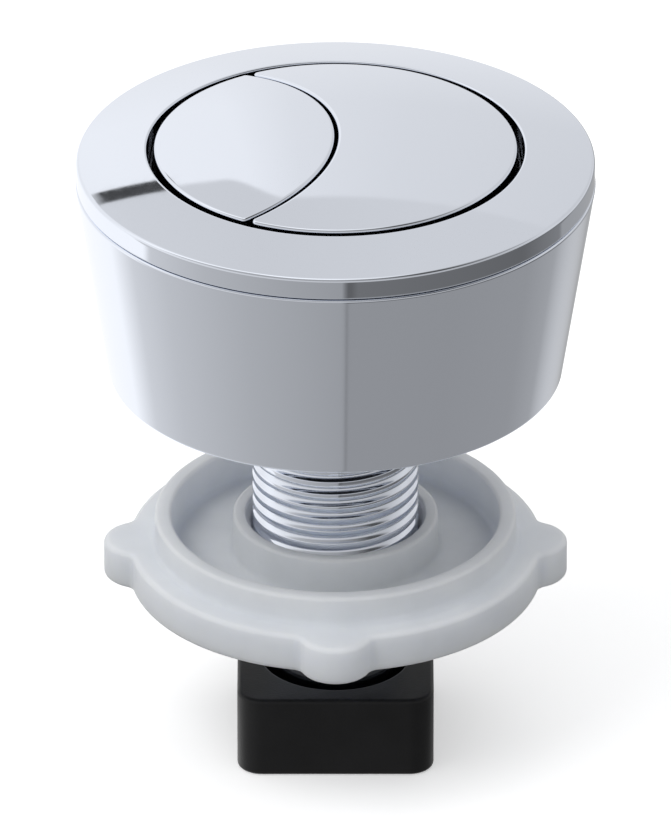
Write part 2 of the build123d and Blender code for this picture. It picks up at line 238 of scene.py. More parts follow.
# Support points beside a rounded edge keep the shading of flat faces flat.
EDGE_SUPPORT = 0.08
FACE_SUPPORT = 0.1
SUPPORT_SHARE = 0.2

FULL_TURN = 2 * math.pi
HALF_TURN = math.pi
QUARTER_TURN = math.pi / 2
MIDDLE = Vector((0, 0))


def fillet_turns():
    """The angles of a rounded edge's points, over a quarter turn."""
    return [QUARTER_TURN * step / FILLET_STEPS for step in range(FILLET_STEPS + 1)]


def dome_height(x, y=0.0):
    """The height of the shared dome over a point."""
    return dome_centre_z + math.sqrt(dome_radius**2 - x * x - y * y)


# Objects


def add_object(name, data):
    """A new object in the scene."""
    made = bpy.data.objects.new(name, data)
    bpy.context.scene.collection.objects.link(made)
    return made


def solid(name, mesh):
    """An object made from points in millimetres and faces, welded, its faces outwards."""
    points, faces = mesh
    data = bpy.data.meshes.new(name)
    data.from_pydata([Vector(p) * MM for p in points], [], faces)
    welded = bmesh.new()
    welded.from_mesh(data)
    bmesh.ops.remove_doubles(welded, verts=welded.verts, dist=WELD * MM)
    bmesh.ops.dissolve_degenerate(welded, edges=welded.edges, dist=WELD * MM)
    bmesh.ops.recalc_face_normals(welded, faces=welded.faces)
    welded.to_mesh(data)
    welded.free()
    return add_object(name, data)


def smooth(piece):
    """Shade a piece smooth but for its sharp edges."""
    mesh = piece.data
    mesh.polygons.foreach_set("use_smooth", [True] * len(mesh.polygons))
    mesh.set_sharp_from_angle(angle=SHARP_ANGLE)


def new_piece(name, mesh, body, material, node):
    """A smooth, dressed piece that takes a CAD node's place on its body."""
    piece = solid(name, mesh)
    smooth(piece)
    piece.data.materials.append(material)
    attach(piece, body)
    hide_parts(node)
    return piece


def combine(piece, other, operation):
    """Join a piece with another solid, or cut it with that solid, which is then removed."""
    modifier = piece.modifiers.new(operation, "BOOLEAN")
    modifier.operation = operation
    modifier.object = other
    modifier.solver = "EXACT"
    bpy.context.view_layer.update()
    depsgraph = bpy.context.evaluated_depsgraph_get()
    made = bpy.data.meshes.new_from_object(piece.evaluated_get(depsgraph))
    piece.modifiers.clear()
    piece.data = made
    bpy.data.objects.remove(other)


# Outlines and walls


def turned(point, angle):
    """A plan point turned about the middle."""
    c, s = math.cos(angle), math.sin(angle)
    return Vector((point.x * c - point.y * s, point.x * s + point.y * c))


def rounded(corners, closed=True):
    """A fine outline from (a, b, fillet) corners: arcs at the fillets, and a support
    point at each end of an arc."""
    points = []
    count = len(corners)
    for i, (a, b, fillet) in enumerate(corners):
        here = Vector((a, b))
        at_end = not closed and i in (0, count - 1)
        if fillet <= 0 or at_end:
            points.append(here)
            continue
        before = Vector(corners[i - 1][:2]) - here
        after = Vector(corners[(i + 1) % count][:2]) - here
        to_before = before.normalized()
        to_after = after.normalized()
        half_opening = to_before.angle(to_after) / 2
        setback = fillet / math.tan(half_opening)
        centre = here + (to_before + to_after).normalized() * (fillet / math.sin(half_opening))
        first = here + to_before * setback - centre
        last = here + to_after * setback - centre
        sweep = first.angle_signed(last)
        room = min(before.length, after.length) - setback
        support = max(min(EDGE_SUPPORT, SUPPORT_SHARE * room), 0)
        points.append(centre + first + to_before * support)
        for step in range(FILLET_STEPS + 1):
            points.append(centre + turned(first, -sweep * step / FILLET_STEPS))
        points.append(centre + last + to_after * support)
    return points


def arc_points(centre, radius, start, end, count):
    """Points along an arc from one angle to another, without the last."""
    angles = [start + (end - start) * i / count for i in range(count)]
    return [centre + Vector((math.cos(a), math.sin(a))) * radius for a in angles]


def run_of_arcs(arcs):
    """The points of several arcs, one after another."""
    return [point for arc in arcs for point in arc_points(*arc)]


def inward(outline, distance):
    """A closed plan outline, running anticlockwise, moved inwards by a distance."""
    moved = []
    count = len(outline)
    for i, point in enumerate(outline):
        along = (outline[(i + 1) % count] - outline[i - 1]).normalized()
        moved.append(point + Vector((-along.y, along.x)) * distance)
    return moved


def spaced(outline, count):
    """A closed outline resampled at even steps."""
    total = 0.0
    lengths = [0.0]
    n = len(outline)
    for i in range(n):
        total += (outline[(i + 1) % n] - outline[i]).length
        lengths.append(total)
    points = []
    k = 0
    for i in range(count):
        target = total * i / count
        while lengths[k + 1] < target:
            k += 1
        share = (target - lengths[k]) / (lengths[k + 1] - lengths[k])
        points.append(outline[k].lerp(outline[(k + 1) % n], share))
    return points


def even_angles(count):
    """Angles evenly spaced round a full turn."""
    return [FULL_TURN * i / count for i in range(count)]


def at_height(outline, height):
    """A plan outline as a level loop."""
    return [(p.x, p.y, height) for p in outline]


def at_radius(directions, radius, height):
    """A level loop of points at a radius, one in each plan direction."""
    return [(d.x * radius, d.y * radius, height) for d in directions]


def soft_side(outline, bottom, top, fillet):
    """Loops up the side of a slab, with its lower and upper edges rounded."""
    loops = []
    for turn in fillet_turns():
        ring = inward(outline, fillet * (1 - math.sin(turn)))
        loops.append(at_height(ring, bottom + fillet * (1 - math.cos(turn))))
    for turn in fillet_turns():
        ring = inward(outline, fillet * (1 - math.cos(turn)))
        loops.append(at_height(ring, top - fillet * (1 - math.sin(turn))))
    loops.append(at_height(inward(outline, fillet + FACE_SUPPORT), top))
    return loops


def turned_loops(corners, directions):
    """A loop at each point of an open profile of (radius, height, fillet) corners."""
    return [at_radius(directions, p.x, p.y) for p in rounded(corners, closed=False)]


def lathe(corners, segments=ROUND, closed=True):
    """Points and faces of a profile of (radius, height, fillet) corners turned about Z."""
    profile = rounded(corners, closed)
    points = []
    for angle in even_angles(segments):
        c, s = math.cos(angle), math.sin(angle)
        points += [(p.x * c, p.x * s, p.y) for p in profile]
    n = len(profile)
    faces = []
    for i in range(segments):
        j = (i + 1) % segments
        for k in range(n if closed else n - 1):
            m = (k + 1) % n
            faces.append((i * n + k, j * n + k, j * n + m, i * n + m))
    return points, faces


def stack(loops, capped=False):
    """Points and faces that join closed loops of equal length, one after another."""
    n = len(loops[0])
    points = [p for loop in loops for p in loop]
    faces = []
    for start in range(0, len(points) - n, n):
        for i in range(n):
            j = (i + 1) % n
            faces.append((start + i, start + j, start + n + j, start + n + i))
    if capped:
        faces.append(tuple(range(n - 1, -1, -1)))
        faces.append(tuple(range(len(points) - n, len(points))))
    return points, faces


def join_meshes(parts):
    """Points and faces of several meshes as one."""
    points, faces = [], []
    for more_points, more_faces in parts:
        shift = len(points)
        points += more_points
        faces += [tuple(i + shift for i in face) for face in more_faces]
    return points, faces


# The chrome bezel


def dome_run(from_radius, to_radius):
    """Profile corners along the dome between two radii, ends left out."""
    run = []
    for i in range(1, DOME_STEPS):
        radius = from_radius + (to_radius - from_radius) * i / DOME_STEPS
        run.append((radius, dome_height(radius), 0))
    return run


def bezel_mesh():
    """The flange and barrel as one turned shell, with the groove for the collar."""
    ledge = flange_under - ledge_depth
    groove_inner = lip_inner - lip_clearance
    groove_outer = lip_outer + lip_clearance
    groove_top = flange_under + lip_height + lip_clearance
    edge = flange_edge_fillet
    return lathe(
        [
            (opening_radius, ledge, 0),
            (barrel_inner, ledge, 0),
            (barrel_inner, barrel_bottom, barrel_inner_fillet),
            (barrel_radius, barrel_bottom, barrel_fillet),
            (barrel_radius, flange_under, edge / 2),
            (groove_inner, flange_under, groove_fillet),
            (groove_inner, groove_top, 0),
            (groove_outer, groove_top, 0),
            (groove_outer, flange_under, groove_fillet),
            (flange_radius, flange_under, edge / 2),
            (flange_radius, edge_top, edge),
            *dome_run(flange_radius - dome_inset, opening_radius + edge),
            (opening_radius, dome_height(opening_radius), edge / 2),
        ]
    )


def corner_rise(x, half, radius):
    """How far a rounded corner lifts an edge at a distance from its middle."""
    into = max(abs(x) - (half - radius), 0.0)
    return radius - math.sqrt(max(radius**2 - into**2, 0.0))


def frame_mesh():
    """Both window frames as closed solids that reach a little into the barrel."""
    half = frame_width / 2
    bottom = window_bottom - frame_sill
    top = flange_under + frame_overlap
    ease, middle = frame_ease, frame_ease_middle
    parts = []
    for side in (-1, 1):
        loops = []
        for i in range(FRAME_STRIPS + 1):
            x = -half + frame_width * i / FRAME_STRIPS
            edge = bottom + corner_rise(x, half, frame_corner)
            inner_y = side * math.sqrt((barrel_radius - frame_sink) ** 2 - x * x)
            outer_y = side * (math.sqrt(frame_radius**2 - x * x) - corner_rise(x, half, ease))
            loops.append(
                [
                    (x, inner_y, edge),
                    (x, outer_y - side * ease, edge),
                    (x, outer_y - side * middle, edge + middle),
                    (x, outer_y, edge + ease),
                    (x, outer_y, top),
                    (x, inner_y, top),
                ]
            )
        parts.append(stack(loops, capped=True))
    return join_meshes(parts)


def window_mesh():
    """A box through both windows, with rounded corners."""
    half = window_width / 2
    top = window_bottom + window_height
    corners = ((-half, window_bottom), (half, window_bottom), (half, top), (-half, top))
    outline = rounded([(x, z, window_corner) for x, z in corners])
    loops = [[(p.x, y, p.y) for p in outline] for y in (-flange_radius, flange_radius)]
    return stack(loops, capped=True)


def make_bezel(material):
    """The bezel with its windows and their frames."""
    piece = new_piece("bezel_skin", bezel_mesh(), "housing", material, "bezel")
    combine(piece, solid("window_frames", frame_mesh()), "UNION")
    combine(piece, solid("window_cutter", window_mesh()), "DIFFERENCE")
    smooth(piece)


# The buttons


def button_outline(side, inset=0.0):
    """The plan of a button, anticlockwise: -1 is the half flush lens, 1 the crescent."""
    rim = button_radius - inset
    split = split_radius + side * (split_gap / 2 + inset)
    corner = max(cap_corner - inset, cap_inner_corner)
    split_x = split_crossing - split_radius
    reach = rim - corner
    split_reach = split + side * corner
    x = (reach**2 - split_reach**2 + split_x**2) / (2 * split_x)
    y = math.sqrt(reach**2 - x * x)
    back_tip, front_tip = Vector((x, y)), Vector((x, -y))
    split_centre = Vector((split_x, 0))
    rim_angle = math.atan2(y, x)
    split_angle = math.atan2(y, x - split_x)
    rim_end = FULL_TURN - rim_angle
    if side < 0:
        return run_of_arcs(
            [
                (split_centre, split, -split_angle, split_angle, CAP_ARC),
                (back_tip, corner, split_angle, rim_angle, CAP_CORNER_ARC),
                (MIDDLE, rim, rim_angle, rim_end, CAP_ARC),
                (front_tip, corner, rim_end, FULL_TURN - split_angle, CAP_CORNER_ARC),
            ]
        )
    return run_of_arcs(
        [
            (MIDDLE, rim, -rim_angle, rim_angle, CAP_ARC),
            (back_tip, corner, rim_angle, split_angle + HALF_TURN, CAP_CORNER_ARC),
            (split_centre, split, split_angle, -split_angle, CAP_ARC),
            (front_tip, corner, HALF_TURN - split_angle, rim_end, CAP_CORNER_ARC),
        ]
    )


def on_dome(outline, drop=0.0):
    """A plan outline laid on the dome, or at a drop below it."""
    return [(p.x, p.y, dome_height(p.x, p.y) - drop) for p in outline]


def button_mesh(side):
    """A domed cap: walls, a rounded edge, a fine top on the dome and a plain underside."""
    outline = button_outline(side)
    inner = button_outline(side, cap_wall)
    loops = [
        on_dome(inner, cap_thickness),
        at_height(inner, cap_bottom),
        at_height(outline, cap_bottom),
        on_dome(outline, cap_fillet + EDGE_SUPPORT),
    ]
    for turn in fillet_turns():
        ring = inward(outline, cap_fillet * (1 - math.cos(turn)))
        loops.append(on_dome(ring, cap_fillet * (1 - math.sin(turn))))
    support = inward(outline, cap_fillet + EDGE_SUPPORT)
    loops.append(on_dome(support))
    roof = filled(support, ROOF_SPACING, 0.0)
    ceiling = filled(inner, CEILING_SPACING, cap_thickness)
    return join_meshes([stack(loops), roof, ceiling])


def filled(outline, spacing, drop):
    """Triangles over a plan outline, on the dome or at a drop below it."""
    row = spacing * math.sqrt(3) / 2
    reach = int(button_radius / spacing) + 1
    rows = int(button_radius / row) + 1
    points = list(outline)
    for j in range(-rows, rows + 1):
        for i in range(-reach, reach + 1):
            point = Vector(((i + 0.5 * (j % 2)) * spacing, j * row))
            if inside(outline, point) and clear_of(outline, point, spacing / 2):
                points.append(point)
    count = len(outline)
    edges = [(i, (i + 1) % count) for i in range(count)]
    made = delaunay_2d_cdt(points, edges, [], 1, 1e-6)
    return on_dome(made[0], drop), [tuple(face) for face in made[2]]


def inside(outline, point):
    """Whether a plan point lies inside an outline."""
    crossings = False
    for i, a in enumerate(outline):
        b = outline[i - 1]
        if (a.y > point.y) != (b.y > point.y):
            if point.x < (b.x - a.x) * (point.y - a.y) / (b.y - a.y) + a.x:
                crossings = not crossings
    return crossings


def clear_of(outline, point, distance):
    """Whether a plan point stays a distance from every point of an outline."""
    limit = distance * distance
    return all((a - point).length_squared > limit for a in outline)


def make_button(side, material):
    """One plated button cap: side -1 is the half flush, 1 the full flush."""
    name = "half" if side < 0 else "full"
    new_piece(
        name + "_button_skin",
        button_mesh(side),
        name + "_flush",
        material,
        name + "_button",
    )


# The threaded stem


def broad_thread():
    """The stem's thread over one pitch, as (share of the pitch, share of the depth):
    a steep lower flank, a broad crest and a long upper flank that faces the light."""
    return [
        (0.0, 0.0), (0.04, 0.10), (0.08, 0.34), (0.12, 0.66), (0.15, 0.87), (0.18, 0.97),
        (0.21, 1.0), (0.56, 1.0), (0.59, 0.985), (0.62, 0.93), (0.65, 0.83), (0.72, 0.60),
        (0.80, 0.35), (0.88, 0.13), (0.93, 0.04), (0.97, 0.01),
    ]


def even_thread():
    """The nut's thread over one pitch, with like flanks and a narrow crest."""
    rising = [
        (0.0, 0.0), (0.05, 0.03), (0.1, 0.13), (0.2, 0.43), (0.3, 0.80), (0.34, 0.93),
        (0.37, 0.985), (0.4, 1.0),
    ]
    return rising + [(1 - at, depth) for at, depth in reversed(rising[1:])]


def helix_wall(shape, core, depth, bottom, top, angles, limit):
    """A wall with a right-hand thread between two heights, at a full turn of angles."""
    first = math.floor(bottom / thread_pitch) - 2
    last = math.ceil(top / thread_pitch) + 2
    track = [(turn + s, d) for turn in range(first, last) for s, d in shape]
    points = []
    for angle in angles:
        c, s = math.cos(angle), math.sin(angle)
        turn = angle / FULL_TURN
        for phase, share in track:
            height = min(max((phase + turn) * thread_pitch, bottom), top)
            radius = limit(core + depth * share, height)
            points.append((radius * c, radius * s, height))
    n = len(track)
    count = len(angles)
    faces = []
    for i in range(count):
        j = (i + 1) % count
        # Where the last angle meets the first, the thread has climbed by one pitch.
        climb = len(shape) if j == 0 else 0
        for k in range(n - 1 - climb):
            near = i * n + k
            far = j * n + k + climb
            faces.append((near, far, far + 1, near + 1))
    return points, faces


def stem_limit(radius, height):
    """The thread's own ends: a lead-in cone below, and a run down to the core above."""
    slope = (thread_radius - lead_in_radius) / lead_in_height
    lead_in = lead_in_radius + (height - thread_start) * slope
    return min(radius, lead_in, thread_core + (thread_end - height))


def stem_mesh():
    """The stem: turned lower end, threaded wall, head flange and guide tube."""
    ring_top = stem_bottom + foot_ring_height
    neck_top = ring_top + neck_height
    plain_top = thread_end + thread_relief
    head_fillet = stem_head_fillet
    lower_end = [
        (stem_bore, stop_ledge, 0),
        (stem_bore, stem_bottom, 0),
        (foot_ring_radius, stem_bottom, stem_fillet / 2),
        (foot_ring_radius, ring_top, stem_fillet),
        (neck_radius, ring_top, neck_fillet),
        (neck_radius, neck_top, neck_fillet),
        (shoulder_radius, neck_top, stem_fillet / 2),
        (shoulder_radius, thread_start, shoulder_fillet),
        (lead_in_radius, thread_start, 0),
    ]
    upper_end = [
        (thread_core, thread_end, 0),
        (thread_core, plain_top, 0),
        (thread_radius, plain_top + thread_depth, 0),
        (thread_radius, stem_flange_under, 0),
        (stem_flange_radius, stem_flange_under, head_fillet),
        (stem_flange_radius, stem_flange_top, head_fillet),
        (guide_tube_radius, stem_flange_top, guide_tube_root),
        (guide_tube_radius, stem_top, head_fillet),
        (guide_bore, stem_top, head_fillet),
        (guide_bore, stop_ledge, 0),
        (stem_bore, stop_ledge, 0),
    ]
    thread = helix_wall(
        broad_thread(),
        thread_radius - thread_seen_depth,
        thread_seen_depth,
        thread_start,
        thread_end,
        even_angles(STEM_ROUND),
        stem_limit,
    )
    lower = lathe(lower_end, STEM_ROUND, closed=False)
    upper = lathe(upper_end, STEM_ROUND, closed=False)
    return join_meshes([lower, thread, upper])


# The collar


def collar_mesh():
    """The tapered collar with its raised lip."""
    return lathe(
        [
            (collar_bore, collar_bottom, collar_fillet / 2),
            (collar_bottom_radius, collar_bottom, collar_fillet),
            (collar_radius, collar_land, collar_fillet / 2),
            (lip_outer, collar_land, lip_root_fillet),
            (lip_outer, collar_lip_top, lip_height / 3),
            (lip_inner, collar_lip_top, lip_inner_fillet),
            (lip_inner, collar_land, lip_foot_fillet),
        ]
    )


# The back nut


def nut_outline():
    """The plan of the nut's flange, anticlockwise, with lugs blended into it."""
    lug_at = nut_reach - nut_lug_radius
    root_at = nut_flange_radius + nut_lug_root
    root_reach = nut_lug_radius + nut_lug_root
    x = (root_at**2 - root_reach**2 + lug_at**2) / (2 * lug_at)
    y = math.sqrt(root_at**2 - x * x)
    lug, root_after, root_before = Vector((lug_at, 0)), Vector((x, y)), Vector((x, -y))
    root_angle = math.atan2(y, x)
    lug_angle = math.atan2(y, x - lug_at)
    root_start = HALF_TURN + lug_angle
    root_end = HALF_TURN + root_angle
    spacing = FULL_TURN / nut_lug_count
    arcs = []
    for n in range(nut_lug_count):
        here = spacing * n
        after = here + spacing
        lug_here = turned(lug, here)
        root_here = turned(root_after, here)
        next_root = turned(root_before, after)
        next_start = after + HALF_TURN - root_angle
        next_end = after + HALF_TURN - lug_angle
        arcs += [
            (lug_here, nut_lug_radius, here - lug_angle, here + lug_angle, LUG_ARC),
            (root_here, nut_lug_root, here + root_start, here + root_end, LUG_ROOT_ARC),
            (MIDDLE, nut_flange_radius, here + root_angle, after - root_angle, NUT_FLANGE_ARC),
            (next_root, nut_lug_root, next_start, next_end, LUG_ROOT_ARC),
        ]
    return run_of_arcs(arcs)


def rising_angles(outline):
    """The compass angle of each plan point, rising without a jump."""
    angles = [math.atan2(outline[0].y, outline[0].x)]
    for point in outline[1:]:
        angle = math.atan2(point.y, point.x)
        while angle < angles[-1]:
            angle += FULL_TURN
        angles.append(angle)
    return angles


def nut_limit(radius, height):
    """The bore's thread runs out to plain chamfers at both faces of the nut."""
    lower_chamfer = nut_thread_root - (height - nut_bottom)
    upper_chamfer = nut_thread_root - (nut_thread_top - height)
    return max(radius, lower_chamfer, upper_chamfer)


def nut_mesh():
    """The nut: lugged flange with soft edges, rim, channel, boss and threaded bore."""
    outline = nut_outline()
    directions = [p.normalized() for p in outline]
    channel_floor = nut_top - nut_channel_depth
    rim_inner = nut_rim_radius - nut_rim_width
    loops = [at_radius(directions, nut_thread_root, nut_bottom)]
    loops += soft_side(outline, nut_bottom, nut_flange_top, nut_fillet)
    loops += turned_loops(
        [
            (nut_rim_radius + nut_rim_land, nut_flange_top, 0),
            (nut_rim_radius, nut_flange_top, nut_root_fillet),
            (nut_rim_radius, nut_top, nut_rim_fillet),
            (rim_inner, nut_top, nut_rim_fillet),
            (rim_inner, channel_floor, nut_root_fillet),
            (nut_boss_radius, channel_floor, nut_root_fillet),
            (nut_boss_radius, nut_top, nut_boss_fillet),
            (nut_thread_root, nut_top, nut_bore_fillet),
            (nut_thread_root, nut_thread_top, 0),
        ],
        directions,
    )
    thread = helix_wall(
        even_thread(),
        nut_thread_root,
        -nut_thread_depth,
        nut_bottom,
        nut_thread_top,
        rising_angles(outline),
        nut_limit,
    )
    return join_meshes([stack(loops), thread])


# The foot block


def block_outline():
    """The block's plan: a square with round corners, its points evenly spaced."""
    reach = block_half - block_corner
    outline = []
    for quarter, (x, y) in enumerate(((1, 1), (-1, 1), (-1, -1), (1, -1))):
        centre = Vector((x * reach, y * reach))
        for step in range(CORNER_STEPS + 1):
            angle = QUARTER_TURN * (quarter + step / CORNER_STEPS)
            outline.append(centre + turned(Vector((block_corner, 0)), angle))
    return spaced(outline, BLOCK_ROUND)


def block_mesh():
    """The rubber foot: a square with round corners, soft edges and a blind recess."""
    outline = block_outline()
    directions = [p.normalized() for p in outline]
    loops = soft_side(outline, block_bottom, block_top, block_fillet)
    loops += turned_loops(
        [
            (recess_radius + recess_land, block_top, 0),
            (recess_radius, block_top, recess_fillet),
            (recess_radius, stem_bottom, recess_root_fillet),
            (recess_middle, stem_bottom, 0),
        ],
        directions,
    )
    return stack(loops, capped=True)


# The return springs


def spring_mesh(node):
    """A coil of round wire with capped ends, as tall as its CAD node."""
    lowest, highest = low(node), high(node)
    middle_x = (lowest.x + highest.x) / 2
    coil_radius = (highest.x - lowest.x) / 2 - spring_wire_radius
    start = lowest.z + spring_wire_radius
    height = highest.z - lowest.z - 2 * spring_wire_radius
    rise = height / (FULL_TURN * spring_turns)
    loops = []
    for i in range(spring_turns * COIL_ROUND + 1):
        turn = FULL_TURN * i / COIL_ROUND
        outward = Vector((math.cos(turn), math.sin(turn), 0))
        along = Vector((-outward.y * coil_radius, outward.x * coil_radius, rise)).normalized()
        across = along.cross(outward)
        centre = outward * coil_radius + Vector((middle_x, 0, start + rise * turn))
        loops.append(
            [
                centre + (outward * math.cos(a) + across * math.sin(a)) * spring_wire_radius
                for a in even_angles(WIRE_ROUND)
            ]
        )
    return stack(loops, capped=True)


def make_spring(side, material):
    """One return spring on the housing, with a mesh of its own."""
    node = side + "_spring"
    piece = new_piece(
        node + "_skin", spring_mesh(node), "housing", material, node
    )
    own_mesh(piece)


# Materials

# How deep the relief of a surface reaches, in metres
PLATE_RELIEF = 0.0002
PLASTIC_RELIEF = 0.0001


class Nodes:
    """A short way to add and link the nodes of one material."""

    def __init__(self, material):
        self.tree = material.node_tree
        self.tree.nodes.clear()

    def add(self, kind, **values):
        """Add a node, set its inputs by name and its own settings by attribute."""
        node = self.tree.nodes.new(kind)
        for name, value in values.items():
            if hasattr(node, name):
                setattr(node, name, value)
            else:
                self.put(node.inputs[name.replace("_", " ")], value)
        return node

    def put(self, socket, value):
        """Set a socket to a value, or link it to another node's output."""
        if isinstance(value, bpy.types.NodeSocket):
            self.tree.links.new(value, socket)
        else:
            socket.default_value = value


def new_material(name):
    """An empty node based material."""
    material = bpy.data.materials.new(name)
    material.use_nodes = True
    return material, Nodes(material)


def ramp(nodes, source, stops):
    """A colour ramp of (position, grey or colour) stops."""
    node = nodes.add("ShaderNodeValToRGB")
    elements = node.color_ramp.elements
    while len(elements) < len(stops):
        elements.new(0.5)
    for element, (position, value) in zip(elements, stops):
        element.position = position
        colour = value if isinstance(value, tuple) else (value, value, value)
        element.color = (*colour, 1)
    nodes.put(node.inputs["Fac"], source)
    return node.outputs["Color"]


def mottled(nodes, noise, first, second):
    """A value or colour that wanders from one to another over the range of a noise."""
    return ramp(nodes, noise, [(0.3, first), (0.7, second)])


def noise(nodes, scale, detail):
    """A noise that is fixed to the piece."""
    place = nodes.add("ShaderNodeTexCoord").outputs["Object"]
    node = nodes.add("ShaderNodeTexNoise", Vector=place, Scale=scale, Detail=detail)
    return node.outputs["Fac"]


def finish_surface(nodes, height, strength, depth, **settings):
    """A shader with its settings and a fine relief, as the material's surface."""
    bump = nodes.add("ShaderNodeBump", Height=height, Strength=strength, Distance=depth)
    shader = nodes.add(
        "ShaderNodeBsdfPrincipled", Normal=bump.outputs["Normal"], **settings
    )
    nodes.add("ShaderNodeOutputMaterial", Surface=shader.outputs["BSDF"])


def chrome(name, colour, roughness, spread, ripple):
    """Bright plate on moulded plastic: faint polish marks and a very slight ripple."""
    material, nodes = new_material(name)
    marks = noise(nodes, scale=900.0, detail=3.0)
    waves = noise(nodes, scale=70.0, detail=2.0)
    finish_surface(
        nodes,
        waves,
        ripple,
        PLATE_RELIEF,
        Base_Color=(*colour, 1),
        Metallic=1.0,
        Roughness=mottled(nodes, marks, roughness, roughness + spread),
    )
    return material


def moulded(name, colours, roughness, cloud, grain, relief, **settings):
    """Moulded plastic or rubber: a faint cloud of colour and gloss, and a fine grain.
    The colours and the roughness are pairs, and cloud and grain are (scale, detail)."""
    material, nodes = new_material(name)
    clouds = noise(nodes, *cloud)
    finish_surface(
        nodes,
        noise(nodes, *grain),
        relief,
        PLASTIC_RELIEF,
        Base_Color=mottled(nodes, clouds, *colours),
        Roughness=mottled(nodes, clouds, *roughness),
        **settings,
    )
    return material


def nylon():
    """Natural moulded plastic: milky, soft, with faint flow marks."""
    return moulded(
        "natural_nylon",
        colours=((0.73, 0.755, 0.79), (0.79, 0.815, 0.85)),
        roughness=(0.38, 0.48),
        cloud=(120.0, 4.0),
        grain=(2600.0, 2.0),
        relief=0.12,
        IOR=1.5,
        Subsurface_Weight=0.75,
        Subsurface_Radius=(1.0, 1.0, 1.1),
        Subsurface_Scale=0.005,
    )


def rubber():
    """Black moulded rubber, satin, with a fine matt grain."""
    return moulded(
        "black_rubber",
        colours=((0.005, 0.005, 0.0055), (0.009, 0.009, 0.010)),
        roughness=(0.36, 0.46),
        cloud=(140.0, 4.0),
        grain=(3200.0, 3.0),
        relief=0.2,
        Specular_IOR_Level=0.35,
    )


def inner_plastic(name, dark, light, roughness):
    """Opaque plastic of the pieces inside."""
    return moulded(
        name,
        colours=(dark, light),
        roughness=roughness,
        cloud=(180.0, 3.0),
        grain=(2200.0, 2.0),
        relief=0.15,
    )


def dress(node, material):
    """Give a CAD node a material."""
    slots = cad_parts[node].data.materials
    slots.clear()
    slots.append(material)


def dress_inner_nodes(steel):
    """Materials of the CAD nodes that keep their own meshes."""
    dark = inner_plastic("cup_plastic", (0.045, 0.046, 0.05), (0.06, 0.061, 0.066), (0.30, 0.40))
    white = inner_plastic("carrier_plastic", (0.62, 0.63, 0.65), (0.70, 0.71, 0.73), (0.37, 0.47))
    zinc = chrome("zinc_plate", (0.66, 0.67, 0.70), roughness=0.26, spread=0.12, ripple=0.1)
    dress("guide_cup", dark)
    dress("stem_screws", zinc)
    for side in ("half", "full"):
        for part in ("carrier", "plunger", "push_rod", "lock_nut"):
            dress(f"{side}_{part}", white)
        dress(f"{side}_stop_clip", steel)


# What plated metal sees. Levels are display levels from 0 to 255, compass directions are
# degrees from the camera's side, and x, y and z are the parts of the direction looked in.
PLATE_SHARE = 0.88
DARK_STRIP_LEVEL = 70


def linear(level):
    """The linear value of a display level."""
    share = level / 255
    return share / 12.92 if share <= 0.04045 else ((share + 0.055) / 1.055) ** 2.4


def scale_to(nodes, value, low_end, high_end, to_low=0.0, to_high=1.0, smooth_step=False):
    """Map a value from one span to another, clamped at both ends."""
    node = nodes.add("ShaderNodeMapRange")
    if smooth_step:
        node.interpolation_type = "SMOOTHSTEP"
    nodes.put(node.inputs["Value"], value)
    node.inputs["From Min"].default_value = low_end
    node.inputs["From Max"].default_value = high_end
    node.inputs["To Min"].default_value = to_low
    node.inputs["To Max"].default_value = to_high
    return node.outputs["Result"]


def reckon(nodes, operation, first, second):
    """One sum of two values."""
    node = nodes.add("ShaderNodeMath", operation=operation)
    nodes.put(node.inputs[0], first)
    nodes.put(node.inputs[1], second)
    return node.outputs[0]


def blend(nodes, share, first, second):
    """Mix two colours by a share. A mix node keeps its colours at inputs 6 and 7."""
    node = nodes.add("ShaderNodeMix", data_type="RGBA")
    nodes.put(node.inputs[0], share)
    nodes.put(node.inputs[6], first)
    nodes.put(node.inputs[7], second)
    return node.outputs[2]


def mix_shaders(nodes, share, first, second):
    """Mix two shaders by a share."""
    node = nodes.add("ShaderNodeMixShader")
    for socket, value in zip(node.inputs, (share, first, second)):
        nodes.put(socket, value)
    return node.outputs[0]


def tones(nodes, share, stops):
    """A ramp of levels, allowing for the share of light that the plate returns."""
    return ramp(nodes, share, [(at, linear(level) / PLATE_SHARE) for at, level in stops])


def tones_around(nodes, around, stops):
    """A ramp of levels by compass direction."""
    return tones(nodes, around, [((at + 180) / 360, level) for at, level in stops])


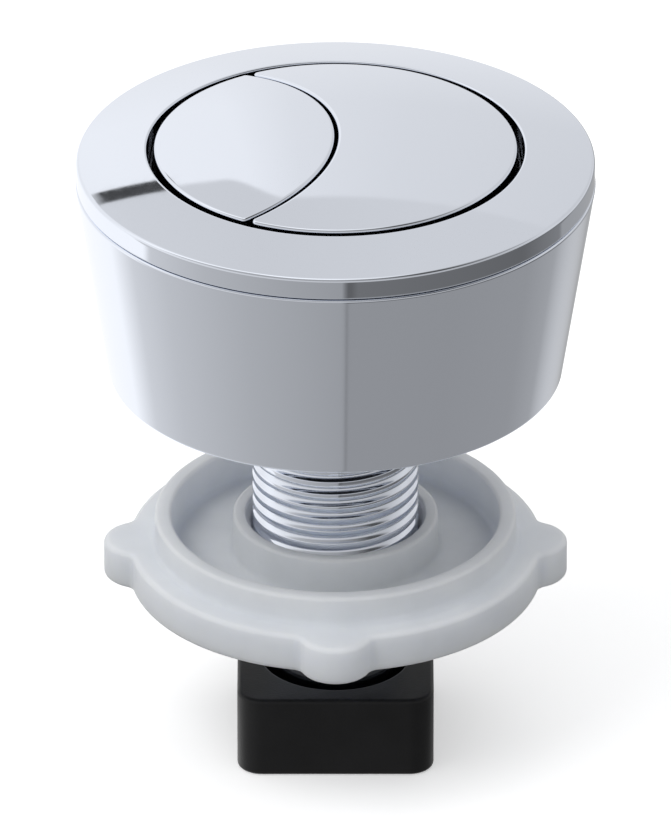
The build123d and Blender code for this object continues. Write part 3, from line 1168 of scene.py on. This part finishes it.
def back_sky(nodes, x, z):
    """What the flat tops reflect: a bright left, an even grey, and the edge of a sheet."""
    across = scale_to(nodes, x, -0.4, 0.4)
    sides = tones(
        nodes,
        across,
        [
            (0.0, 232), (0.16, 236), (0.26, 238), (0.40, 234),
            (0.46, 222), (0.57, 215), (0.75, 209), (1.0, 200),
        ],
    )
    low_sky = tones(nodes, across, [(0.0, 236), (0.3, 230), (0.6, 224), (1.0, 214)])
    near = tones(nodes, across, [(0.0, 232), (0.25, 208), (0.4, 203), (0.6, 206), (1.0, 204)])
    far = blend(nodes, scale_to(nodes, z, 0.08, 0.34), low_sky, sides)

    # The sheet's edge rises to the right in one soft wave, and above it the sky is grey.
    wave = scale_to(nodes, x, -0.105, -0.045, 0.569, 0.632, smooth_step=True)
    edge = reckon(nodes, "ADD", wave, scale_to(nodes, x, -0.22, -0.11, -0.018, 0.0))
    past_edge = reckon(nodes, "SUBTRACT", z, edge)
    sky = blend(nodes, scale_to(nodes, past_edge, -0.004, 0.006), far, near)

    # A short dark strip lies along the left end of that edge.
    strip_height = reckon(
        nodes,
        "MULTIPLY",
        scale_to(nodes, past_edge, -0.025, -0.021),
        scale_to(nodes, past_edge, 0.012, 0.007),
    )
    strip_length = reckon(
        nodes,
        "MULTIPLY",
        scale_to(nodes, x, -0.222, -0.214),
        scale_to(nodes, x, -0.147, -0.150),
    )
    dark_strip = reckon(nodes, "MULTIPLY", strip_height, strip_length)
    return blend(nodes, dark_strip, sky, (*[linear(DARK_STRIP_LEVEL)] * 3, 1))


def front_sky(nodes, around, z):
    """What the tops reflect from behind, and the thread's upper flanks from in front."""
    over_tops = tones_around(
        nodes,
        around,
        [
            (-180, 246), (-110, 244), (-60, 212), (-10, 192), (25, 186), (55, 176),
            (70, 176), (95, 198), (130, 230), (180, 246),
        ],
    )
    over_flanks = tones_around(
        nodes,
        around,
        [
            (-180, 250), (-96, 250), (-88, 190), (-50, 164), (0, 152), (30, 122),
            (52, 76), (66, 72), (78, 116), (100, 150), (125, 196), (180, 236),
        ],
    )
    return blend(nodes, scale_to(nodes, z, 0.55, 0.63), over_tops, over_flanks)


def lower_bands(nodes, around, z):
    """What upright walls reflect, and further down what the collar's taper reflects."""
    upright = tones_around(
        nodes,
        around,
        [
            (-180, 246), (-95, 246), (-91, 200), (-60, 178), (-20, 160), (3, 151),
            (5, 96), (6.5, 92), (10, 110), (50, 104), (92, 98), (106, 114),
            (119, 124), (121, 150), (160, 160), (172, 165), (176, 244),
        ],
    )
    tapered = tones_around(
        nodes,
        around,
        [
            (-180, 250), (-130, 246), (-112, 206), (-90, 190), (-45, 170), (4, 154),
            (5.5, 128), (7, 145), (60, 143), (105, 146), (125, 158), (140, 200),
            (160, 240),
        ],
    )
    return blend(nodes, scale_to(nodes, z, -0.585, -0.50), tapered, upright)


def surround(nodes, x, y, z):
    """The whole studio as plated metal sees it."""
    angle = reckon(nodes, "ARCTAN2", x, reckon(nodes, "MULTIPLY", y, -1.0))
    around = scale_to(nodes, angle, -HALF_TURN, HALF_TURN)
    towards_back = scale_to(nodes, y, 0.22, 0.46)
    sky = blend(nodes, towards_back, front_sky(nodes, around, z), back_sky(nodes, x, z))
    overhead = reckon(
        nodes,
        "MULTIPLY",
        scale_to(nodes, z, 0.945, 0.965),
        scale_to(nodes, y, -0.30, -0.22),
    )
    lamp = tones(nodes, scale_to(nodes, x, -0.3, 0.3), [(0.0, 255), (0.5, 244), (1.0, 214)])
    above = blend(nodes, overhead, sky, lamp)
    below = lower_bands(nodes, around, z)
    return blend(nodes, scale_to(nodes, z, -0.03, 0.03), below, above)


# Studio


def studio_world():
    """A plain white world that plated metal sees as the bands of a photo studio."""
    world = bpy.data.worlds.new("studio")
    bpy.context.scene.world = world
    world.use_nodes = True
    nodes = Nodes(world)
    direction = nodes.add("ShaderNodeTexCoord").outputs["Generated"]
    apart = nodes.add("ShaderNodeSeparateXYZ", Vector=direction)
    x, y, z = (apart.outputs[axis] for axis in "XYZ")
    light = scale_to(nodes, z, -0.1, 1.0, 0.42, 0.98)
    soft = nodes.add("ShaderNodeBackground", Color=(0.985, 0.99, 1.0, 1), Strength=light)
    seen = nodes.add("ShaderNodeBackground", Color=surround(nodes, x, y, z), Strength=1.0)
    white = nodes.add("ShaderNodeBackground", Color=(1, 1, 1, 1), Strength=1.0)
    path = nodes.add("ShaderNodeLightPath").outputs
    lit = mix_shaders(nodes, path["Is Glossy Ray"], soft.outputs[0], seen.outputs[0])
    shown = mix_shaders(nodes, path["Is Camera Ray"], lit, white.outputs[0])
    nodes.add("ShaderNodeOutputWorld", Surface=shown)


def floor_material():
    """A white that keeps the shadow and lets plated metal see the surround."""
    material, nodes = new_material("studio_floor")
    white = nodes.add("ShaderNodeBsdfDiffuse", Color=(0.9, 0.9, 0.9, 1))
    glow = nodes.add("ShaderNodeEmission", Color=(1, 1, 1, 1), Strength=0.36)
    lit = nodes.add("ShaderNodeAddShader")
    nodes.put(lit.inputs[0], white.outputs[0])
    nodes.put(lit.inputs[1], glow.outputs[0])
    dim = nodes.add("ShaderNodeBsdfDiffuse", Color=(0.3, 0.3, 0.3, 1))
    clear = nodes.add("ShaderNodeBsdfTransparent")
    path = nodes.add("ShaderNodeLightPath").outputs
    met = mix_shaders(nodes, path["Is Camera Ray"], dim.outputs[0], lit.outputs[0])
    shown = mix_shaders(nodes, path["Is Glossy Ray"], met, clear.outputs[0])
    nodes.add("ShaderNodeOutputMaterial", Surface=shown)
    return material


def studio_floor():
    """A wide floor under the object."""
    half = 6.0
    mesh = bpy.data.meshes.new("studio_floor")
    corners = [(-half, -half, 0), (half, -half, 0), (half, half, 0), (-half, half, 0)]
    mesh.from_pydata(corners, [], [(0, 1, 2, 3)])
    mesh.materials.append(floor_material())
    add_object("studio_floor", mesh)


def studio_lamp():
    """A key from the upper left, hidden from plated metal, which sees the surround."""
    place = Vector((-0.7, -0.5, 1.1))
    aim = Vector((0, 0, 0.05))
    data = bpy.data.lights.new("key", "AREA")
    data.shape = "DISK"
    data.size = 0.9
    data.energy = 6.0
    lamp = add_object("key", data)
    lamp.location = place
    lamp.rotation_euler = (aim - place).to_track_quat("-Z", "Y").to_euler()
    lamp.visible_glossy = False


def place_camera():
    """A long lens at the photograph's viewing angle, with the object filling the frame."""
    tilt = math.radians(28.4)
    distance = 2.2
    frame_height = 0.1175
    sensor_height = 36.0
    target = Vector((0, 0, 0.0518))
    data = bpy.data.cameras.new("camera")
    data.sensor_fit = "VERTICAL"
    data.sensor_height = sensor_height
    data.lens = sensor_height * distance / frame_height
    data.clip_start = 0.1
    data.clip_end = 20.0
    camera = add_object("camera", data)
    camera.location = target + Vector((0, -math.cos(tilt), math.sin(tilt))) * distance
    camera.rotation_euler = Euler((QUARTER_TURN - tilt, 0, 0))
    bpy.context.scene.camera = camera


# The object


def make_object():
    """Every dressed piece."""
    plate = (0.835, 0.873, 0.955)
    bezel = chrome("bezel_chrome", plate, roughness=0.03, spread=0.02, ripple=0.02)
    buttons = chrome("button_chrome", plate, roughness=0.03, spread=0.02, ripple=0.02)
    stem = chrome("stem_chrome", plate, roughness=0.05, spread=0.04, ripple=0.03)
    collar = chrome("collar_chrome", plate, roughness=0.05, spread=0.02, ripple=0.02)
    steel = chrome("spring_steel", (0.58, 0.59, 0.61), roughness=0.22, spread=0.12, ripple=0.1)
    make_bezel(bezel)
    for side in (-1, 1):
        make_button(side, buttons)
    new_piece("stem_skin", stem_mesh(), "housing", stem, "threaded_stem")
    new_piece("collar_skin", collar_mesh(), "collar", collar, "collar")
    new_piece("back_nut_skin", nut_mesh(), "back_nut", nylon(), "back_nut")
    new_piece("foot_block_skin", block_mesh(), "housing", rubber(), "foot_block")
    for side in ("half", "full"):
        make_spring(side, steel)
    dress_inner_nodes(steel)


bpy.context.scene.view_settings.view_transform = "Standard"
place_camera()
studio_world()
studio_floor()
studio_lamp()
make_object()
